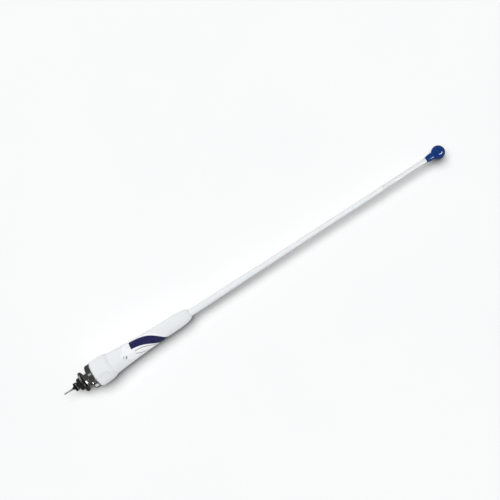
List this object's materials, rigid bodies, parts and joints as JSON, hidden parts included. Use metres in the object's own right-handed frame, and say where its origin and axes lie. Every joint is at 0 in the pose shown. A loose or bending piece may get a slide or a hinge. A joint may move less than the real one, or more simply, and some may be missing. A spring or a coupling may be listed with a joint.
{
  "type": "omnidirectional whip antenna",
  "caption": "White marine VHF whip antenna with a fluted plastic ferrule, tapered fibreglass whip, blue ball cap and threaded metal stud with clamp nut and feed pin.",
  "frame": {"origin": "the lowest point of the antenna, at the centre of the feed pin's flat end, on the whip's axis; the flange's underside, which sits on the bracket, is 62 mm above it", "axes": "+Z along the whip towards the ball cap; +X and +Y are square to it, and the label wraps round the +X side"},
  "size_m": [0.0556, 0.0556, 0.903],
  "materials": {
    "chromed_stud": "polished chromed brass with fine turning marks",
    "steel_hardware": "dark stainless steel, turned and pressed",
    "pin": "tinned, dull",
    "insulator": "machined PTFE",
    "rubber": "matt black rubber",
    "ferrule_plastic": "satin moulded white plastic",
    "label": "gloss vinyl with a plain navy band",
    "fibreglass": "painted fibreglass with a faint lengthwise grain",
    "cap_plastic": "glossy moulded blue plastic",
    "former_plastic": "natural moulded plastic",
    "copper": "bare copper wire",
    "brass": "bright brass",
    "ceramic": "dipped ceramic capacitor",
    "foam": "closed-cell foam"
  },
  "bodies": {
    "antenna": {"base_stud": "chromed_stud", "feed_insulator": "insulator", "feed_pin": "pin", "gland_seal": "rubber", "ferrule_grip": "ferrule_plastic", "ferrule_cone": "ferrule_plastic", "ferrule_label": "label", "base_o_ring": "rubber", "whip_o_ring": "rubber", "ground_lug": "brass", "inner_nut": "steel_hardware", "coil_former": "former_plastic", "matching_coil": "copper", "ground_wire": "copper", "tap_wire": "copper", "tuning_capacitor": "ceramic", "coil_terminal": "brass", "radiator_lead": "copper", "whip_tube": "fibreglass", "top_rod": "fibreglass", "splice_sleeve": "fibreglass", "radiator": "brass", "foam_spacer_1": "foam", "foam_spacer_2": "foam", "foam_spacer_3": "foam", "foam_spacer_4": "foam", "foam_spacer_5": "foam", "rod_plug": "ferrule_plastic"},
    "clamp_stack": {"clamp_washer": "steel_hardware", "lock_washer": "steel_hardware"},
    "clamp_nut": {"clamp_nut": "steel_hardware"},
    "gland_stack": {"gland_washer": "steel_hardware"},
    "gland_nut": {"gland_nut": "steel_hardware"},
    "tip_cap": {"tip_cap": "cap_plastic"}
  },
  "joints": [
    {"name": "clamp_slide", "type": "slide", "parent": "antenna", "child": "clamp_stack", "axis": [0, 0, 1], "range_m": [-0.003, 0]},
    {"name": "clamp_nut_turn", "type": "hinge", "parent": "clamp_stack", "child": "clamp_nut", "pos_m": [0, 0, 0.038], "axis": [0, 0, 1], "range_deg": [-720, 0]},
    {"name": "gland_slide", "type": "slide", "parent": "antenna", "child": "gland_stack", "axis": [0, 0, 1], "range_m": [-0.002, 0]},
    {"name": "gland_nut_turn", "type": "hinge", "parent": "gland_stack", "child": "gland_nut", "pos_m": [0, 0, 0.028], "axis": [0, 0, 1], "range_deg": [-720, 0]},
    {"name": "cap_pull", "type": "slide", "parent": "antenna", "child": "tip_cap", "axis": [0, 0, 1], "range_m": [0, 0.02]}
  ],
  "couplings": [
    {"joint": "clamp_nut_turn", "follows": "clamp_slide", "rad_per_m": 4188.8},
    {"joint": "gland_nut_turn", "follows": "gland_slide", "rad_per_m": 6283.2}
  ]
}
